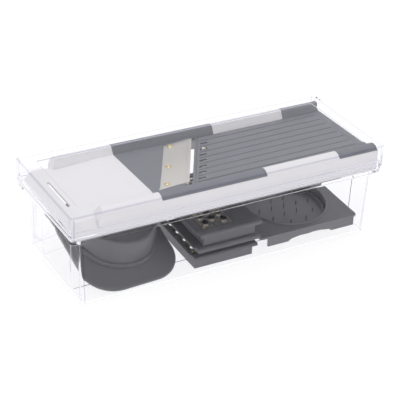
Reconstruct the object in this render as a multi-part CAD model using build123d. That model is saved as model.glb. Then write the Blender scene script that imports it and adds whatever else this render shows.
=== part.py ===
from build123d import *
import math
import os

# Boxed mandoline slicer. X runs along the slicer (landing at -X, runway at +X), Y across it,
# Z up from the table. Sizes in mm.

# Clear storage box
BOX_FOOT = (342.4, 131.0)
BOX_SHOULDER = (347.5, 132.0)
BOX_WALL = 2.0
BOX_CORNER = 4.5
BOX_FLOOR = 2.2
SHOULDER_Z = 74.5
TRAY_Z = 76.5
LEDGE_Z = 82.4
RIM_Z = 88.0
LEDGE = (367.4, 138.4)
RIM = (365.2, 136.2)
TRAY = (362.4, 133.0)
BOX_RIB = 0.8
RIB_WIDTH = 1.4
RIB_Y = 37.0

# Clear lid
LID = (370.0, 141.0)
LID_INSIDE = (366.0, 137.0)
LID_TOP = 106.7
LID_CEILING = 104.7
LID_PANEL = (337.0, 105.0)
LID_PANEL_STEP = 0.8
LID_EDGE = 2.5
LID_CORNER = 4.5

# Slicer frame
FRAME_X = 180.5
FRAME_Y = 65.0
SKIN = 2.4
RAIL_FOOT = 51.0
RAIL_TOP_Z = 104.0
RAIL_OUT_Z = 100.0
DECK_Z = 96.0
UNDER_Z = DECK_Z - SKIN
LANDING_END_X = -174.0
LANDING_END_Z = 92.5
LANDING_FLAT_X = -100.0
CHAMFER_Z = 84.0
RAIL_START = -152.0
FACET_X = -165.0
INSERT_START = -82.0
INSERT_END = 40.0
CAP_START = 130.0
CAP_END = 178.6
LEDGE_TOP = 93.4
LEDGE_LOW = 91.0
SLOT_X = -167.5
SLOT_WIDTH = 2.8
SLOT_LENGTH = 54.0

# Blade line: the cutting edge is x = EDGE_X + EDGE_SLOPE * y
EDGE_X = -16.0
EDGE_SLOPE = 0.564
EDGE_Z = 98.5
BLADE_LENGTH_X = 34.2
BLADE_BACK_Z = 96.2
BLADE_THICK = 1.0
BLADE_NEAR = -42.5
BLADE_FAR = 46.5
RIVET_INSET = 7.8
RIVET_YS = (42.2, 0.8, -33.6)
RIVET_DOME_R = 5.2
RIVET_HEAD_HIGH = 1.0

# Runway
RUNWAY_GAP = 3.7
RUNWAY_HALF = 50.6
RUNWAY_END = 169.5
RUNWAY_LOW_Z = 95.0
RUNWAY_HIGH_Z = 97.0
LANE = 12.0
SLOTS_FROM_EDGE = (10.8, 19.5)
TOOTH_SLOT = 3.0
PIN_LANE = 24.0
PIN_HEAD_R = 3.2
PIN_HEAD_HIGH = 1.6
HINGE = (164.0, 90.4)
HINGE_R = 1.5
FIT = 0.05

# Spare cassettes
CASSETTE_Y = 58.0
CASSETTE_RAIL = 9.0
CASSETTE_SHEET = 1.4
FLOOR_REST = BOX_FLOOR + BOX_RIB + 0.05
# underside, rail underside, rail height and half width of the base, from the lowest cassette up
CASSETTES = ((FLOOR_REST, 12.2, 2.9, 57.4), (15.4, 20.4, 4.2, 52.5), (25.0, 38.0, 4.2, 53.0))

# Food guard
GUARD_AT = (-105.5, -1.8)
GUARD_TILT = 18.0
GUARD_TURN = 3.0
GUARD_BRIM = (55.0, 63.0, 35.0)
GUARD_RING_R = 43.0
GUARD_TOP_R = 39.5
GUARD_RING_Z = 8.5
GUARD_HIGH = 40.0
GUARD_WALL = 2.0

# Food carriage
CARRIAGE_X = (43.5, 168.5)
CARRIAGE_Y = 55.0
CARRIAGE_TOP = 17.0
CARRIAGE_PLATE = 2.4
WELL_X = 108.0
WELL_R = 46.0
WELL_WALL = 2.0
PUSHER_R = 45.4
PUSHER_Z = (5.2, 8.2)
PRONG_R = 0.7
PRONG_HIGH = 6.0


def prism_x(points, x0, x1):
    face = Face(Wire.make_polygon([Vector(x0, y, z) for y, z in points]))
    return Solid.extrude(face, Vector(x1 - x0, 0, 0))


def prism_y(points, y0, y1, slope=0.0):
    """Extrude an XZ outline from y0 to y1; slope shears it along X, as the blade line runs."""
    face = Face(Wire.make_polygon([Vector(x + slope * y0, y0, z) for x, z in points]))
    return Solid.extrude(face, Vector(slope * (y1 - y0), y1 - y0, 0))


def block(x0, x1, y0, y1, z0, z1):
    return Pos((x0 + x1) / 2, (y0 + y1) / 2, (z0 + z1) / 2) * Box(x1 - x0, y1 - y0, z1 - z0)


def plate(size, z0, z1, radius, x=0.0, y=0.0):
    return extrude(Pos(x, y, z0) * RectangleRounded(size[0], size[1], radius), z1 - z0)


def taper(low, high, z0, z1, radius):
    sections = [Pos(0, 0, z0) * RectangleRounded(*low, radius)]
    sections.append(Pos(0, 0, z1) * RectangleRounded(*high, radius))
    return loft(sections)


def rod(x, y, z0, z1, radius):
    return Pos(x, y, (z0 + z1) / 2) * Cylinder(radius, z1 - z0)


def shrink(size, amount):
    return (size[0] - 2 * amount, size[1] - 2 * amount)


def on_edge(points):
    """Move an XZ outline given from the cutting edge to the model's X."""
    return [(EDGE_X + x, z) for x, z in points]


def rail_face(side, x, low):
    """Section of a rail: slanted inner face, rounded top, outer face; low is the rest of it."""
    inner = [Vector(x, side * RAIL_FOOT, DECK_Z), Vector(x, side * 54.4, RAIL_TOP_Z - 0.5)]
    crown = Vector(x, side * 60.2, RAIL_TOP_Z - 0.7)
    outer = Vector(x, side * FRAME_Y, RAIL_OUT_Z)
    rest = [Vector(x, side * y, z) for y, z in low]
    edges = [Edge.make_line(*inner), Edge.make_three_point_arc(inner[1], crown, outer)]
    chain = [outer] + rest + [inner[0]]
    edges += [Edge.make_line(a, b) for a, b in zip(chain, chain[1:])]
    return Face(Wire(edges))


def rail(side, x0, x1, low):
    return Solid.extrude(rail_face(side, x0, low), Vector(x1 - x0, 0, 0))


def storage_box():
    body = taper(BOX_FOOT, BOX_SHOULDER, 0, SHOULDER_Z, BOX_CORNER)
    body += plate(LEDGE, SHOULDER_Z, LEDGE_Z, BOX_CORNER) + plate(RIM, LEDGE_Z, RIM_Z, BOX_CORNER - 0.5)
    body -= plate(TRAY, TRAY_Z, RIM_Z, BOX_CORNER - 1.5)
    low, high = shrink(BOX_FOOT, BOX_WALL), shrink(BOX_SHOULDER, BOX_WALL)
    body -= taper(low, high, BOX_FLOOR, TRAY_Z, BOX_CORNER - BOX_WALL)
    half = low[0] / 2
    draft = (high[0] - low[0]) / 2
    for y in (-RIB_Y, RIB_Y):
        y0, y1 = y - RIB_WIDTH / 2, y + RIB_WIDTH / 2
        body += block(-half - 0.5, half + 0.5, y0, y1, BOX_FLOOR - 0.5, BOX_FLOOR + BOX_RIB)
        for end in (-1, 1):
            face = [(end * (half + 0.6), BOX_FLOOR), (end * (half - BOX_RIB), BOX_FLOOR),
                    (end * (half + draft - BOX_RIB), SHOULDER_Z), (end * (half + draft + 0.6), SHOULDER_Z)]
            body += prism_y(face, y0, y1)
    return body


def storage_lid():
    shell = plate(LID, LEDGE_Z, LID_TOP, LID_CORNER)
    top_edges = shell.faces().sort_by(Axis.Z)[-1].edges()
    shell = fillet(top_edges, LID_EDGE)
    shell -= plate(LID_INSIDE, LEDGE_Z, LID_CEILING, LID_CORNER - 1.5)
    shell -= plate(LID_PANEL, LID_TOP - LID_PANEL_STEP, LID_TOP, 2)
    return shell


def cut_plane(points, solid):
    """Keep the side of the plane through three points that holds the frame's middle."""
    origin, second, third = (Vector(*p) for p in points)
    normal = (second - origin).cross(third - origin)
    if (Vector(RAIL_START, 0, TRAY_Z) - origin).dot(normal) > 0:
        normal = -normal
    plane = Plane(origin=origin, x_dir=second - origin, z_dir=normal)
    return split(solid, bisect_by=plane, keep=Keep.BOTTOM)


def landing_block(skin):
    """Left end of the frame, with a sloped end and two facets at each corner, grown inwards by skin."""
    end, half = -FRAME_X + skin, FRAME_Y - skin
    low, deck = CHAMFER_Z - skin, LANDING_END_Z - skin
    profile = [(end, TRAY_Z), (end, low), (LANDING_END_X + skin, deck), (RAIL_START, 93.6 - skin),
               (RAIL_START, TRAY_Z)]
    block_end = prism_y(profile, -half, half)
    for side in (-1, 1):
        tip = (LANDING_END_X + 2, side * (57 - skin), deck)
        foot = (FACET_X, side * half, low + 0.4)
        block_end = cut_plane([(end, side * half, low), foot, tip], block_end)
        block_end = cut_plane([(RAIL_START, side * half, 93.6 - skin), foot, tip], block_end)
    return block_end


def landing():
    """Landing deck between the rails, with the sloped end beyond them, hollow below."""
    deck = prism_y([(RAIL_START, 93.6), (LANDING_FLAT_X, DECK_Z), (INSERT_START - 0.2, DECK_Z),
                    (INSERT_START - 0.2, LEDGE_LOW), (INSERT_START - 4, LEDGE_LOW),
                    (INSERT_START - 4, UNDER_Z), (LANDING_FLAT_X, UNDER_Z), (RAIL_START, 93.6 - SKIN)],
                   -FRAME_Y + SKIN, FRAME_Y - SKIN)
    lip = block(INSERT_START - 4, INSERT_START + 5, -FRAME_Y + SKIN, FRAME_Y - SKIN, LEDGE_LOW, LEDGE_TOP)
    return (landing_block(0.0) - landing_block(SKIN)) + deck + lip


def slicer_frame():
    body = landing()
    low_rail = [(FRAME_Y, TRAY_Z), (FRAME_Y - SKIN, TRAY_Z), (FRAME_Y - SKIN, RAIL_OUT_Z),
                (FRAME_Y - 9, RAIL_OUT_Z), (FRAME_Y - 9, UNDER_Z), (RAIL_FOOT, UNDER_Z)]
    for side in (-1, 1):
        body += rail(side, RAIL_START, INSERT_START - 0.2, low_rail)
        body += rail(side, INSERT_END + 0.2, CAP_START - 0.2, low_rail)
        for x0, x1 in ((INSERT_START - 0.2, INSERT_END + 0.2), (CAP_START - 0.2, FRAME_X)):
            y0, y1 = sorted((side * FRAME_Y, side * (FRAME_Y - SKIN)))
            body += block(x0, x1, y0, y1, TRAY_Z, RAIL_OUT_Z - 0.15)
            y0, y1 = sorted((side * (RAIL_FOOT + 1), side * (FRAME_Y - SKIN)))
            body += block(x0, x1, y0, y1, LEDGE_LOW, LEDGE_TOP)
        y0, y1 = sorted((side * (FRAME_Y - 9.1), side * (FRAME_Y - SKIN + 0.1)))
        body += block(RAIL_START, RAIL_START + 7, y0, y1, UNDER_Z, RAIL_OUT_Z + 0.1)
        y0, y1 = sorted((side * (RAIL_FOOT + 1), side * (RAIL_FOOT + 7)))
        body += block(HINGE[0] - 5, HINGE[0] + 5, y0, y1, 86.4, LEDGE_LOW)
        wedge = [(RAIL_START - 1, 93.6), (RAIL_START, 93.6), (RAIL_START + 6, RAIL_TOP_Z + 1),
                 (RAIL_START - 1, RAIL_TOP_Z + 1)]
        y0, y1 = sorted((side * (RAIL_FOOT - 1), side * (FRAME_Y + 1)))
        body -= prism_y(wedge, y0, y1)
    body += block(FRAME_X - SKIN, FRAME_X, -FRAME_Y, FRAME_Y, TRAY_Z, LEDGE_TOP)
    body += block(RUNWAY_END + 1, FRAME_X - SKIN, -RAIL_FOOT - 1, RAIL_FOOT + 1, LEDGE_LOW, LEDGE_TOP)
    bore = Rotation(90, 0, 0) * Cylinder(HINGE_R + FIT, 2 * FRAME_Y - 16)
    body -= Pos(HINGE[0], 0, HINGE[1]) * bore
    body -= block(SLOT_X - SLOT_WIDTH / 2, SLOT_X + SLOT_WIDTH / 2, -SLOT_LENGTH / 2, SLOT_LENGTH / 2,
                  CHAMFER_Z, DECK_Z)
    verticals = [e for e in body.edges().filter_by(Axis.Z)
                 if abs(abs(e.center().X) - FRAME_X) < 0.01 and abs(abs(e.center().Y) - FRAME_Y) < 0.01]
    return fillet(verticals, 2.0)


def blade_seat():
    """Ramp that carries the blade and rises towards its cutting edge, across the whole insert."""
    nose = -3.6
    rise = (EDGE_Z - BLADE_BACK_Z) / BLADE_LENGTH_X
    profile = [(-BLADE_LENGTH_X, UNDER_Z), (nose, UNDER_Z), (nose, EDGE_Z + rise * nose - 0.05),
               (-BLADE_LENGTH_X, BLADE_BACK_Z - 0.2)]
    return prism_y(on_edge(profile), -RAIL_FOOT, RAIL_FOOT, EDGE_SLOPE)


def blade_outline(grow=0.0):
    return on_edge([(-BLADE_LENGTH_X - grow, BLADE_BACK_Z - BLADE_THICK - grow / 2),
                    (-BLADE_LENGTH_X - grow, BLADE_BACK_Z + grow), (grow, EDGE_Z + grow),
                    (-3.0, EDGE_Z - BLADE_THICK - 0.2 - grow / 2)])


def slicing_blade():
    blade = prism_y(blade_outline(), BLADE_NEAR, BLADE_FAR, EDGE_SLOPE)
    for x, y in rivet_places():
        blade -= rod(x, y, DECK_Z - 4, EDGE_Z + 2, 1.5)
    return blade


def rivet_places():
    return [(EDGE_X + EDGE_SLOPE * y - BLADE_LENGTH_X + RIVET_INSET, y) for y in RIVET_YS]


def blade_rivet(x, y):
    top = BLADE_BACK_Z + (EDGE_Z - BLADE_BACK_Z) * RIVET_INSET / BLADE_LENGTH_X
    shank = rod(x, y, UNDER_Z - 0.8, top, 1.5)
    dome = RIVET_DOME_R - RIVET_HEAD_HIGH
    head = Pos(0, 0, top - dome) * (Sphere(RIVET_DOME_R) & Pos(0, 0, dome + 2) * Box(12, 12, 4))
    return shank + (Pos(x, y, 0) * head - slicing_blade()) + rod(x, y, UNDER_Z - 1.2, UNDER_Z, 2.6)


def cap(side, x0, x1):
    low = [(FRAME_Y - SKIN - 0.2, RAIL_OUT_Z), (FRAME_Y - SKIN - 0.2, UNDER_Z), (RAIL_FOOT, UNDER_Z)]
    return rail(side, x0, x1, low)


def blade_insert():
    plan = [(INSERT_START, -RAIL_FOOT)]
    for y in (-RAIL_FOOT, RAIL_FOOT):
        plan.append((EDGE_X + EDGE_SLOPE * y - BLADE_LENGTH_X + 1, y))
    plan.append((INSERT_START, RAIL_FOOT))
    deck = Face(Wire.make_polygon([Vector(x, y, UNDER_Z) for x, y in plan]))
    body = Solid.extrude(deck, Vector(0, 0, SKIN)) + blade_seat()
    for side in (-1, 1):
        body += cap(side, INSERT_START, INSERT_END)
    slot = prism_y(blade_outline(0.1), BLADE_NEAR - 0.15, BLADE_FAR + 0.15, EDGE_SLOPE)
    body -= slot
    for x, y in rivet_places():
        body -= rod(x, y, UNDER_Z - 3, EDGE_Z, 1.5)
    return body


def runway_top(x):
    start = EDGE_X - EDGE_SLOPE * RUNWAY_HALF
    return RUNWAY_LOW_Z + (RUNWAY_HIGH_Z - RUNWAY_LOW_Z) * (x - start) / (RUNWAY_END - start)


def lanes(count):
    return [LANE * (i - (count - 1) / 2) for i in range(count)]


def runway_plate():
    start = EDGE_X - EDGE_SLOPE * RUNWAY_HALF - 8
    top = [(start, runway_top(start)), (RUNWAY_END, RUNWAY_HIGH_Z), (RUNWAY_END, RUNWAY_HIGH_Z - SKIN),
           (start, runway_top(start) - SKIN)]
    slab = prism_y(top, -RUNWAY_HALF, RUNWAY_HALF)
    lip = on_edge([(RUNWAY_GAP, 80), (RUNWAY_GAP, 110), (400, 110), (400, 80)])
    keep = prism_y(lip, -RUNWAY_HALF - 1, RUNWAY_HALF + 1, EDGE_SLOPE)
    body = slab & keep
    for side in (-1, 1):
        y0, y1 = sorted((side * 46.6, side * 49.0))
        x0 = EDGE_X + EDGE_SLOPE * side * 49 + 14
        body += block(x0, HINGE[0] + 3.6, y0, y1, HINGE[1] - 3.2, RUNWAY_LOW_Z - 0.6)
        pin = Rotation(90, 0, 0) * Cylinder(HINGE_R, 9)
        body += Pos(HINGE[0], side * 52.0, HINGE[1]) * pin
        body += rod(EDGE_X + EDGE_SLOPE * side * 42.6 + 15, side * 42.6, 82.6, RUNWAY_LOW_Z - 1, 1.6)
    for y in lanes(8):
        x0 = EDGE_X + EDGE_SLOPE * y + SLOTS_FROM_EDGE[0]
        groove = [(x0, runway_top(x0) - 0.7), (RUNWAY_END - 3, RUNWAY_HIGH_Z - 0.7),
                  (RUNWAY_END - 3, RUNWAY_HIGH_Z + 1), (x0, RUNWAY_HIGH_Z + 1)]
        body -= prism_y(groove, y - 0.6, y + 0.6)
    for y in lanes(7):
        x0, x1 = [EDGE_X + EDGE_SLOPE * y + reach for reach in SLOTS_FROM_EDGE]
        body -= block(x0, x1, y - TOOTH_SLOT / 2, y + TOOTH_SLOT / 2, RUNWAY_LOW_Z - 5, RUNWAY_HIGH_Z)
    low = RUNWAY_LOW_Z - 0.7
    crease = on_edge([(6.8, low), (7.8, low), (7.8, RUNWAY_HIGH_Z), (6.8, RUNWAY_HIGH_Z)])
    return body - prism_y(crease, -RUNWAY_HALF + 0.8, RUNWAY_HALF - 0.8, EDGE_SLOPE)


def runway_end():
    body = block(RUNWAY_END + 0.3, CAP_END, -RAIL_FOOT, RAIL_FOOT, UNDER_Z, RUNWAY_HIGH_Z)
    for side in (-1, 1):
        body += cap(side, CAP_START, CAP_END)
    return body


def julienne_carrier():
    profile = on_edge([(9.5, 83.6), (21, 83.6), (21, 86.4), (9.5, 86.4)])
    bar = prism_y(profile, -46, 46, EDGE_SLOPE)
    for side in (-1, 1):
        bar -= rod(EDGE_X + EDGE_SLOPE * side * 42.6 + 15, side * 42.6, 80, 90, 1.6 + FIT)
    return bar


def julienne_comb():
    strip = on_edge([(11, 86.4), (19.2, 86.4), (19.2, 87.2), (11, 87.2)])
    comb = prism_y(strip, -39, 39, EDGE_SLOPE)
    for y in lanes(7):
        if y == PIN_LANE:
            continue
        x = EDGE_X + EDGE_SLOPE * y
        tooth = [(x + 12, 87), (x + 18.4, 87), (x + 18.4, 94.4), (x + 14.5, 94.4), (x + 12, 91.5)]
        comb += prism_y(tooth, y - 0.4, y + 0.4)
    return comb


def julienne_pin():
    """Round-headed steel pin that stands on the comb and shows above one tooth slot."""
    x, y = EDGE_X + EDGE_SLOPE * PIN_LANE + sum(SLOTS_FROM_EDGE) / 2, PIN_LANE
    top = runway_top(x) + 0.3
    centre = top - (PIN_HEAD_R - PIN_HEAD_HIGH)
    head = Pos(x, y, centre) * Sphere(PIN_HEAD_R) & Pos(x, y, top + 2) * Box(12, 12, 4)
    return rod(x, y, 87.2 + FIT, top + 0.1, 1.3) + head


def lay_guard(shape):
    """Lay an upright guard piece as it is stored: front edge on the floor, back edge raised."""
    low = FLOOR_REST + GUARD_BRIM[1] * math.sin(math.radians(GUARD_TILT)) + 0.4
    tilted = Rotation(0, 0, GUARD_TURN) * Rotation(GUARD_TILT, 0, 0) * shape
    return Pos(GUARD_AT[0], GUARD_AT[1], low) * tilted


def brim_loop(a, b, radius, z):
    """Rounded oblong of half sizes a and b, as four straight sides and four corner arcs."""
    lean = radius * (1 - math.sqrt(0.5))
    edges = []
    for sx, sy in ((1, 1), (-1, 1), (-1, -1), (1, -1)):
        side = Vector(sx * a, sy * (b - radius), z)
        end = Vector(sx * (a - radius), sy * b, z)
        mid = Vector(sx * (a - lean), sy * (b - lean), z)
        corner = (side, mid, end) if sx * sy > 0 else (end, mid, side)
        edges.append(corner)
    return joined_loop(edges)


def ring_loop(radius, z):
    """Circle cut at the bearings where the brim's corners begin and end."""
    a, b, corner = GUARD_BRIM
    low, high = math.atan2(b - corner, a), math.atan2(b, a - corner)
    edges = []
    for start, end in ((low, high), (math.pi - high, math.pi - low),
                       (math.pi + low, math.pi + high), (-high, -low)):
        bearings = (start, (start + end) / 2, end)
        edges.append(tuple(Vector(radius * math.cos(t), radius * math.sin(t), z) for t in bearings))
    return joined_loop(edges, radius)


def joined_loop(corners, radius=None):
    """Corner arcs joined by straight sides, or by arcs where a radius is given."""
    edges = []
    for corner, following in zip(corners, corners[1:] + corners[:1]):
        edges.append(Edge.make_three_point_arc(*corner))
        start, end = corner[2], following[0]
        if radius is None:
            edges.append(Edge.make_line(start, end))
        else:
            centre = (start + end) * 0.5
            out = Vector(centre.X, centre.Y, 0).normalized() * radius
            edges.append(Edge.make_three_point_arc(start, Vector(out.X, out.Y, start.Z), end))
    return Wire(edges)


def guard_form(skin):
    a, b, corner = (size - skin for size in GUARD_BRIM)
    high = GUARD_HIGH - skin
    loops = [brim_loop(a, b, corner, 0.0), brim_loop(a, b, corner, 2.6),
             ring_loop(GUARD_RING_R - skin, GUARD_RING_Z), ring_loop(GUARD_TOP_R - skin, high)]
    return Solid.make_loft(loops, ruled=True)


def food_guard():
    return lay_guard(guard_form(0) - guard_form(GUARD_WALL))


def guard_ring():
    """Double bead round the foot of the guard's cylinder."""
    z0, z1 = GUARD_RING_Z + 0.3, GUARD_RING_Z + 3.5
    slope = (GUARD_RING_R - GUARD_TOP_R) / (GUARD_HIGH - GUARD_RING_Z)
    middle = (z0 + z1) / 2
    band = Pos(0, 0, middle) * Cylinder(GUARD_RING_R + 2.2, z1 - z0)
    groove = Pos(0, 0, middle) * (Cylinder(GUARD_RING_R + 3, 0.8) - Cylinder(GUARD_RING_R + 1.4, 0.8))
    radii = [GUARD_RING_R - slope * (z - GUARD_RING_Z) + FIT for z in (z0, z1)]
    return lay_guard(band - groove - Pos(0, 0, middle) * Cone(*radii, z1 - z0))


def carriage():
    x0, x1 = CARRIAGE_X
    low = CARRIAGE_TOP - CARRIAGE_PLATE
    body = plate((x1 - x0, 2 * CARRIAGE_Y), low, CARRIAGE_TOP, 4, (x0 + x1) / 2)
    body += rod(WELL_X, 0, FLOOR_REST, CARRIAGE_TOP + 1.2, WELL_R + WELL_WALL)
    body -= rod(WELL_X, 0, 0, CARRIAGE_TOP + 2, WELL_R - 4)
    body -= rod(WELL_X, 0, PUSHER_Z[0] - 0.2, CARRIAGE_TOP + 2, WELL_R)
    for side in (-1, 1):
        y0, y1 = sorted((side * 50.4, side * 53.0))
        wall = block(55, 166, y0, y1, FLOOR_REST, low + 1)
        arch = [(80, FLOOR_REST - 1), (84, 5.4), (96, 7.2), (109, 7.8), (122, 7.2), (134, 5.4),
                (138, FLOOR_REST - 1)]
        body += wall - prism_y(arch, y0 - 1, y1 + 1)
    return body


def prong_places():
    rings = [(0.0, 1), (16.0, 6), (32.0, 10)]
    for radius, count in rings:
        for i in range(count):
            turn = 2 * math.pi * i / count
            yield WELL_X + radius * math.cos(turn), radius * math.sin(turn)


def pusher_disk():
    disk = rod(WELL_X, 0, *PUSHER_Z, PUSHER_R)
    rim = rod(WELL_X, 0, PUSHER_Z[1], PUSHER_Z[1] + 3, PUSHER_R)
    disk += rim - rod(WELL_X, 0, PUSHER_Z[1], PUSHER_Z[1] + 3, PUSHER_R - 2.2)
    for x, y in prong_places():
        disk -= rod(x, y, PUSHER_Z[0], PUSHER_Z[1] + 1, PRONG_R)
    return disk


def pusher_prongs():
    prongs = []
    for x, y in prong_places():
        z = PUSHER_Z[1] + PRONG_HIGH
        pin = rod(x, y, PUSHER_Z[0] + 0.2, z - 2, PRONG_R)
        prongs.append(pin + Pos(x, y, z - 1) * Cone(PRONG_R, 0.1, 2))
    return Compound(prongs)


def cassette_level(index):
    """Underside of a cassette's steel sheet."""
    return CASSETTES[index][1] + CASSETTE_SHEET


def cassette_frame(top, base, index, window):
    """Gray drop-in frame: two rounded rails, a deck with windows, and a hollow base below."""
    bottom, low, high, half = CASSETTES[index]
    x0, x1 = top
    inner, outer = CASSETTE_Y - CASSETTE_RAIL, CASSETTE_Y
    body = block(x0, x1, -inner, inner, low - 1, low + CASSETTE_SHEET)
    for x in (base[0], base[1] - 2.4):
        body += block(x, x + 2.4, -half, half, bottom, low)
    for side in (-1, 1):
        points = [(inner, low + high), (outer - 3.5, low + high), (outer - 0.8, low + 0.8 * high),
                  (outer, low + 0.4 * high), (outer, low), (inner, low - 1)]
        ring = [Vector(x0, side * y, z) for y, z in points]
        edges = [Edge.make_line(ring[0], ring[1]), Edge.make_three_point_arc(*ring[1:4])]
        edges += [Edge.make_line(a, b) for a, b in zip(ring[3:], ring[4:] + ring[:1])]
        body += Solid.extrude(Face(Wire(edges)), Vector(x1 - x0, 0, 0))
        y0, y1 = sorted((side * (half - 2.4), side * half))
        body += block(base[0], base[1], y0, y1, bottom, low)
    for wx0, wx1 in window:
        body -= block(wx0, wx1, -40, 40, low - 2, low + 2)
    return body


def steel_sheet(x0, x1, index, half=46.0):
    z = cassette_level(index)
    return block(x0, x1, -half, half, z, z + 0.8)


def holed_strip():
    """Steel strip of the lowest cassette, with one row of round holes."""
    sheet = steel_sheet(-35, -22, 0)
    z = cassette_level(0)
    for i in range(6):
        sheet -= rod(-29, 15.5 * (i - 2.3), z - 1, z + 2, 3.0)
    return sheet


def straight_blade():
    z = cassette_level(1)
    sheet = steel_sheet(-24, 1, 1)
    return sheet + prism_y([(0.9, z), (0.9, z + 0.8), (6.5, z + 2.2), (6.5, z + 1.9)], -46, 46)


def grater_sheet():
    """Steel sheet with raised round cutters in staggered rows."""
    z = cassette_level(2)
    sheet = steel_sheet(-22, 14, 2)
    for row in range(3):
        for i in range(7):
            x, y = -15 + 11 * row, 12 * (i - 3) + (6 if row % 2 else 0)
            ring = rod(x, y, z + 0.7, z + 2.2, 4.6)
            sheet = sheet + ring - rod(x, y, z - 1, z + 4, 3.6)
    return sheet


def cassette_rivets(x, index):
    z = cassette_level(index) + 0.8
    heads = []
    for y in (-43, 43):
        heads.append(rod(x, y, z, z + 0.7, 1.6))
    return Compound(heads)


def build():
    nodes = {"storage_box": storage_box(), "storage_lid": storage_lid(), "slicer_frame": slicer_frame(),
             "blade_insert": blade_insert(), "slicing_blade": slicing_blade()}
    for number, (x, y) in enumerate(rivet_places(), 1):
        nodes[f"blade_rivet_{number}"] = blade_rivet(x, y)
    nodes["runway_plate"] = runway_plate()
    nodes["runway_end"] = runway_end()
    nodes["julienne_carrier"] = julienne_carrier()
    nodes["julienne_comb"] = julienne_comb()
    nodes["julienne_pin"] = julienne_pin()
    nodes["food_guard"] = food_guard()
    nodes["guard_ring"] = guard_ring()
    nodes["carriage"] = carriage()
    nodes["pusher_disk"] = pusher_disk()
    nodes["pusher_prongs"] = pusher_prongs()
    nodes["cassette_1_frame"] = cassette_frame((-38, 38.5), (-38, 32), 0, [(-33, -25), (-19, 27)])
    nodes["cassette_1_strip"] = holed_strip()
    nodes["cassette_1_rivets"] = cassette_rivets(-32.6, 0)
    nodes["cassette_2_frame"] = cassette_frame((-34, 41.5), (-28, 36), 1, [(3, 32)])
    nodes["cassette_2_blade"] = straight_blade()
    nodes["cassette_2_rivets"] = cassette_rivets(-12, 1)
    nodes["cassette_3_frame"] = cassette_frame((-32, 42.5), (-26, 37), 2, [(-19, 12)])
    nodes["cassette_3_grater"] = grater_sheet()
    nodes["cassette_3_rivets"] = cassette_rivets(-20.6, 2)
    return nodes


os.makedirs("parts", exist_ok=True)
for name, shape in build().items():
    export_step(shape, f"parts/{name}.step")
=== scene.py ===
import math

import bmesh
import bpy
from bpy.props import FloatProperty, FloatVectorProperty, IntProperty, PointerProperty
from mathutils import Matrix, Vector

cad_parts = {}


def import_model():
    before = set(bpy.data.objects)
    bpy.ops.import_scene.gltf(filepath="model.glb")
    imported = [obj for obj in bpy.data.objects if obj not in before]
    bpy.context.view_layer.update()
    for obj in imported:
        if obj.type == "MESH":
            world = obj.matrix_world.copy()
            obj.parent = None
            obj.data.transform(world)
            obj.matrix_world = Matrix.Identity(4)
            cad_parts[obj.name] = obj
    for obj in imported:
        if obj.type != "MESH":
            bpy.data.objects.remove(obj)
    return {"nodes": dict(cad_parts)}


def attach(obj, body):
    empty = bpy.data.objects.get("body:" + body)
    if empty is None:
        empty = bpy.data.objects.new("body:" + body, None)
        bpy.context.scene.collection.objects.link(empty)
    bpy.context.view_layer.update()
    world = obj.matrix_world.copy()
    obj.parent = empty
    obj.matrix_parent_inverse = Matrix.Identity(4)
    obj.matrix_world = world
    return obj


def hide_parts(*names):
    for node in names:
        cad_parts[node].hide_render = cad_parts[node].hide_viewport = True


bl_info = {
    "name": "Boxed mandoline slicer",
    "version": (1, 0, 0),
    "blender": (4, 5, 0),
    "location": "3D View > Sidebar > Mandoline",
    "description": "Builds the finished look of a boxed mandoline slicer round its fixed frame",
    "category": "Add Mesh",
}

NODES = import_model()["nodes"]
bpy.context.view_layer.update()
MM = 0.001


# ------------ settings


def tint(name, description, default):
    """A colour setting."""
    return FloatVectorProperty(name=name, description=description, subtype="COLOR", default=default,
                               min=0.0, max=1.0)


def length(name, description, default, low, high):
    """A length setting, given in mm."""
    return FloatProperty(name=name, description=description, unit="LENGTH", default=default * MM,
                         min=low * MM, max=high * MM)


def number(name, description, default, low=0.0, high=1.0, unit="NONE"):
    """A plain number, or a power."""
    return FloatProperty(name=name, description=description, unit=unit, default=default, min=low,
                         max=high)


class MandolineFinish(bpy.types.PropertyGroup):
    """Colours and surface settings of the mouldings and metals."""

    clear_tint: tint("Clear tint", "Tint of the clear box and lid", (0.985, 0.985, 0.995))
    # Painted shade: the darker tint on the clear plastic's rounded edges stands in for the grey
    # lines that reflections give them.
    clear_edge: tint("Clear edge", "Tint of the clear plastic's thick edges", (0.70, 0.70, 0.80))
    clear_ior: number("Clear index", "Refractive index of the thin clear walls", 1.16, 1.0, 1.6)
    white: tint("White moulding", "Colour of the slicer frame", (0.80, 0.785, 0.79))
    grey: tint("Grey moulding", "Colour of the insert and the runway", (0.188, 0.190, 0.214))
    dark: tint("Guard moulding", "Colour of the food guard", (0.150, 0.149, 0.160))
    cassette: tint("Cassette moulding", "Colour of the cassettes", (0.128, 0.129, 0.142))
    carriage: tint("Carriage moulding", "Colour of the food carriage and its pusher",
                   (0.165, 0.166, 0.180))
    steel: tint("Steel", "Colour of the blades", (0.50, 0.475, 0.435))
    brass: tint("Brass", "Colour of the rivets", (0.55, 0.38, 0.15))
    edge_round: length("Edge rounding", "Radius on the edges of the mouldings", 0.5, 0.0, 2.0)
    metal_round: length("Metal edge", "Radius on the edges of the steel pieces", 0.12, 0.0, 1.0)


class MandolineShell(bpy.types.PropertyGroup):
    """Shape settings of the clear box and its lid."""

    corner_steps: IntProperty(name="Corner steps", description="Faces round each rounded corner",
                              default=6, min=3, max=24)
    foot_fillet: length("Foot fillet", "Radius under the box's walls", 1.2, 0.5, 6.0)
    lid_fillet: length("Lid fillet", "Radius round the lid's top edge", 2.4, 0.5, 5.0)


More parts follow.
